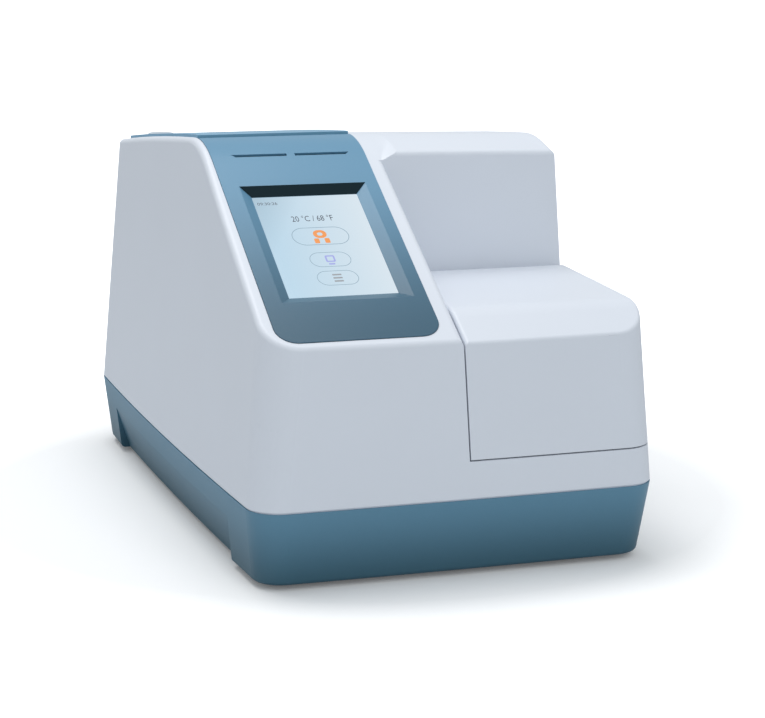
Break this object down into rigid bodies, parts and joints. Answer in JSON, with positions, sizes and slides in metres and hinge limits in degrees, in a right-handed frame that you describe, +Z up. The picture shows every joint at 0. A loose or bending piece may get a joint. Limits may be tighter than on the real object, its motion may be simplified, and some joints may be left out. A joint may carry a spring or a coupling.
{
  "type": "glycated hemoglobin analyzer",
  "caption": "Benchtop cartridge blood analyzer with a sloped touch screen tower and a hinged lid over its cartridge chamber.",
  "frame": {"origin": "on the table under the middle of the footprint", "axes": "+X to the viewer's right, +Y to the back, +Z up; the front faces -Y"},
  "size_m": [0.2, 0.328, 0.189],
  "materials": {
    "white_housing": "fine satin moulding",
    "blue_plastic": "satin moulding",
    "base_blue": "satin moulding",
    "touch_screen": "gloss, lit from behind",
    "dark_plastic": "satin black",
    "light_guide": "smoked clear",
    "gasket_rubber": "matt",
    "button_plastic": "satin",
    "switch_black": "matt",
    "zinc_steel": "zinc plated",
    "rod_steel": "ground",
    "liner_plastic": "fine matt moulding",
    "carriage_plastic": "satin",
    "bronze": "turned",
    "motor_steel": "dark lacquered laminations",
    "aluminium": "machined",
    "circuit_board": "solder resist",
    "module_black": "matt",
    "port_steel": "tinned",
    "foot_rubber": "matt"
  },
  "bodies": {
    "root": {"barcode_reader": "dark_plastic", "base_screws": "zinc_steel", "base_tray": "base_blue", "board_modules": "module_black", "board_standoffs": "bronze", "button_switch": "switch_black", "camera_module": "dark_plastic", "chamber_liner": "liner_plastic", "chassis_plate": "zinc_steel", "chassis_posts": "zinc_steel", "crest_gasket": "gasket_rubber", "dc_inlet": "dark_plastic", "display_bezel": "blue_plastic", "display_panel": "dark_plastic", "drive_bracket": "zinc_steel", "guide_rods": "rod_steel", "heater_block": "aluminium", "hinge_bracket_left": "zinc_steel", "hinge_bracket_right": "zinc_steel", "hinge_rod": "rod_steel", "led_ring": "circuit_board", "main_board": "circuit_board", "network_port": "port_steel", "optics_bridge": "zinc_steel", "rear_port_plate": "dark_plastic", "rubber_feet": "foot_rubber", "speaker": "dark_plastic", "status_light_guide": "light_guide", "stepper_motor": "motor_steel", "top_cover": "blue_plastic", "touch_glass": "touch_screen", "upper_housing": "white_housing", "usb_ports": "port_steel"},
    "lid": {"lid_shell": "white_housing"},
    "power_button": {"power_button": "button_plastic"},
    "carriage": {"cartridge_carriage": "carriage_plastic", "slide_bushes": "bronze", "drive_nut": "bronze"},
    "screw": {"lead_screw": "rod_steel"}
  },
  "joints": [
    {"name": "lid_hinge", "type": "hinge", "parent": "root", "child": "lid", "pos_m": [0.05, -0.0587, 0.1165], "axis": [-1, 0, 0], "range_deg": [0, 58]},
    {"name": "power_press", "type": "slide", "parent": "root", "child": "power_button", "axis": [0, 0, -1], "range_m": [0, 0.0012], "stiffness_N_per_m": 400},
    {"name": "carriage_slide", "type": "slide", "parent": "root", "child": "carriage", "axis": [0, 1, 0], "range_m": [0, 0.084]},
    {"name": "screw_spin", "type": "hinge", "parent": "root", "child": "screw", "pos_m": [0.04965, 0, 0.0625], "axis": [0, 1, 0], "range_deg": [-2521, 0]}
  ],
  "couplings": [
    {"joint": "screw_spin", "follows": "carriage_slide", "rad_per_m": -523.6}
  ]
}
